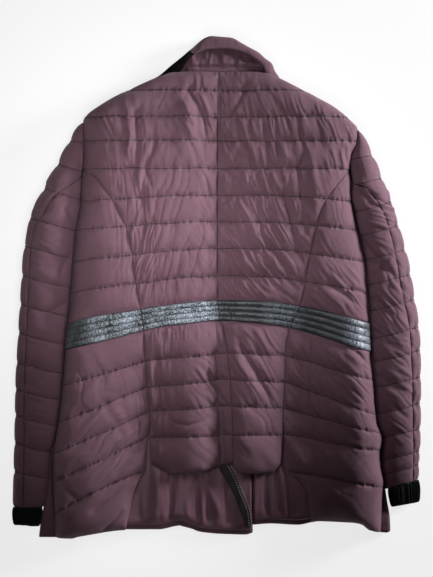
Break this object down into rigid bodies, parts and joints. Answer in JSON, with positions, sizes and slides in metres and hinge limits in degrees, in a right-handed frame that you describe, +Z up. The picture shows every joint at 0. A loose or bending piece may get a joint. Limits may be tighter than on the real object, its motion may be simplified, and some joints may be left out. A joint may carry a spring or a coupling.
{
  "type": "quilted jacket",
  "caption": "Padded, channel-quilted jacket laid flat with its back up: shirred waist band, short centre-back peplum, open zipped fronts below, ribbed cuffs.",
  "frame": {"origin": "middle of the jacket's outline, on the surface that it lies on", "axes": "+X across the back towards the wearer's right sleeve, +Y towards the collar, +Z up out of the surface"},
  "size_m": [0.6277, 0.768, 0.0482],
  "materials": {
    "shell": "satin",
    "lining": "satin",
    "band": "gloss",
    "rib": "matte",
    "zip_tape": "matte"
  },
  "bodies": {
    "root": {"back_centre_left": "shell", "back_centre_right": "shell", "back_side_left": "shell", "back_side_right": "shell", "peplum_centre_left": "shell", "peplum_centre_right": "shell", "peplum_side_left": "shell", "peplum_side_right": "shell", "waist_band_side_left": "band", "waist_band_centre_left": "band", "waist_band_centre_right": "band", "waist_band_side_right": "band", "front_left": "shell", "front_right": "shell", "lining_left": "lining", "lining_right": "lining", "zip_tape": "zip_tape", "collar_stand": "shell", "collar_fall": "shell", "sleeve_top_left": "shell", "sleeve_top_right": "shell", "sleeve_under_left": "shell", "sleeve_under_right": "shell", "cuff_left": "rib", "cuff_right": "rib"}
  },
  "joints": []
}
